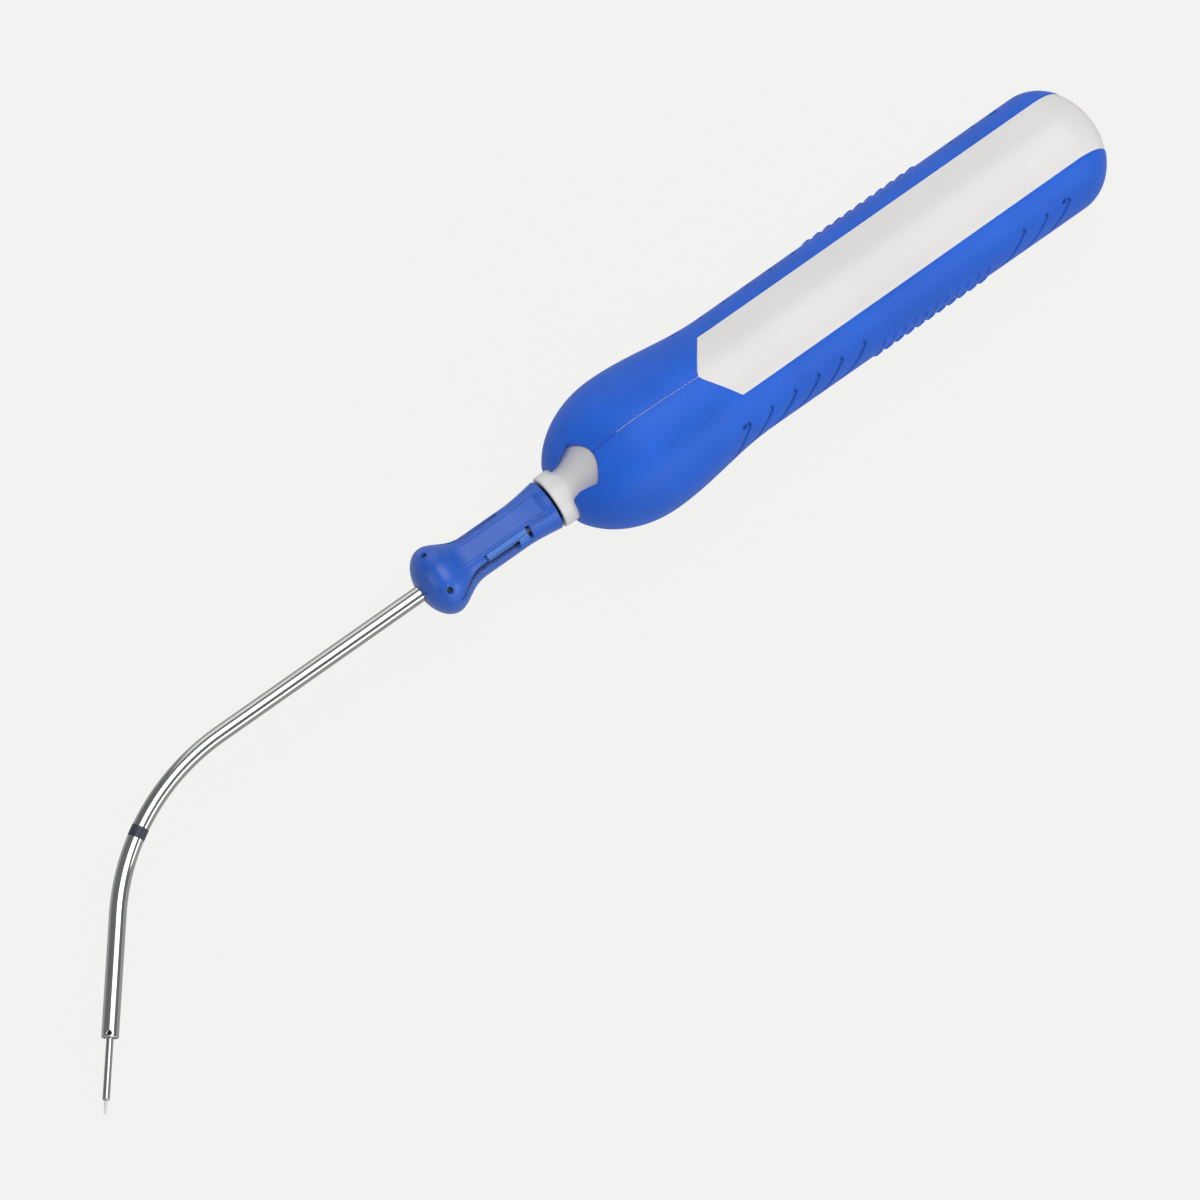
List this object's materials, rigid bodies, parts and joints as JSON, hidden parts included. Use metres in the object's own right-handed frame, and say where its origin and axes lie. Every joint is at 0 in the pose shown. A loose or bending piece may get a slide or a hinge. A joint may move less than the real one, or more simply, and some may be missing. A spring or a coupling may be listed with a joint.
{
  "type": "surgical sling introducer",
  "caption": "Hand-held introducer with a soft two-colour handle, a thumb slider and a bent steel shaft ending in a needle pin.",
  "frame": {"origin": "centre of the shaft's mouth, where the needle pin comes out", "axes": "+X along the handle and the straight shaft, towards the tip; +Y to the side the shaft bends to; +Z out of the upper white panel"},
  "size_m": [0.2385, 0.0546, 0.0268],
  "materials": {
    "white_plastic": "moulded, fine satin texture, warm white",
    "soft_grip": "soft-touch overmould, satin, saturated blue",
    "blue_plastic": "hard moulded, semi-gloss, blue",
    "natural_acetal": "machined, smooth",
    "black_acetal": "machined, smooth, black",
    "steel": "drawn and polished along its length",
    "dark_steel": "black oxide",
    "dark_mark": "matt dark ring",
    "black_rubber": "smooth",
    "pale_nib": "pale, slightly translucent"
  },
  "bodies": {
    "handle": {"core_upper": "white_plastic", "core_lower": "white_plastic", "grip_sleeve": "soft_grip", "nose_cone": "white_plastic", "guide_sleeve": "black_acetal", "retaining_clip": "steel", "drag_ring": "black_rubber", "rod_guide": "natural_acetal", "anchor_block": "steel", "anchor_screws": "dark_steel", "inner_rod": "steel", "rod_ferrule": "steel", "locating_dowels": "natural_acetal"},
    "deployer": {"slider_body": "blue_plastic", "slider_pad": "blue_plastic", "pad_pins": "dark_steel", "tube_collar": "steel", "shaft_tube": "steel", "distal_tube": "steel", "marker_band": "dark_mark", "tip_bush": "dark_steel", "flex_cable": "steel"},
    "left_latch": {"latch_left": "blue_plastic"},
    "right_latch": {"latch_right": "blue_plastic"},
    "needle": {"needle_pin": "steel", "pin_ferrule": "steel", "tip_nib": "pale_nib"}
  },
  "joints": [
    {"name": "slider_slide", "type": "slide", "parent": "handle", "child": "deployer", "axis": [1, 0, 0], "range_m": [0, 0.01], "deforming": ["flex_cable"]},
    {"name": "pin_slide", "type": "slide", "parent": "deployer", "child": "needle", "axis": [0.6157, 0.788, 0], "range_m": [-0.01, 0]},
    {"name": "left_latch_flex", "type": "hinge", "parent": "deployer", "child": "left_latch", "pos_m": [-0.09765, -0.03358, -0.00268], "axis": [0, -0.766, 0.6428], "range_deg": [0, 5], "stiffness_Nm_per_rad": 0.002},
    {"name": "right_latch_flex", "type": "hinge", "parent": "deployer", "child": "right_latch", "pos_m": [-0.09765, -0.02909, 0.00268], "axis": [0, 0.766, -0.6428], "range_deg": [0, 5], "stiffness_Nm_per_rad": 0.002}
  ],
  "couplings": [
    {"joint": "pin_slide", "follows": "slider_slide", "ratio": -1}
  ]
}
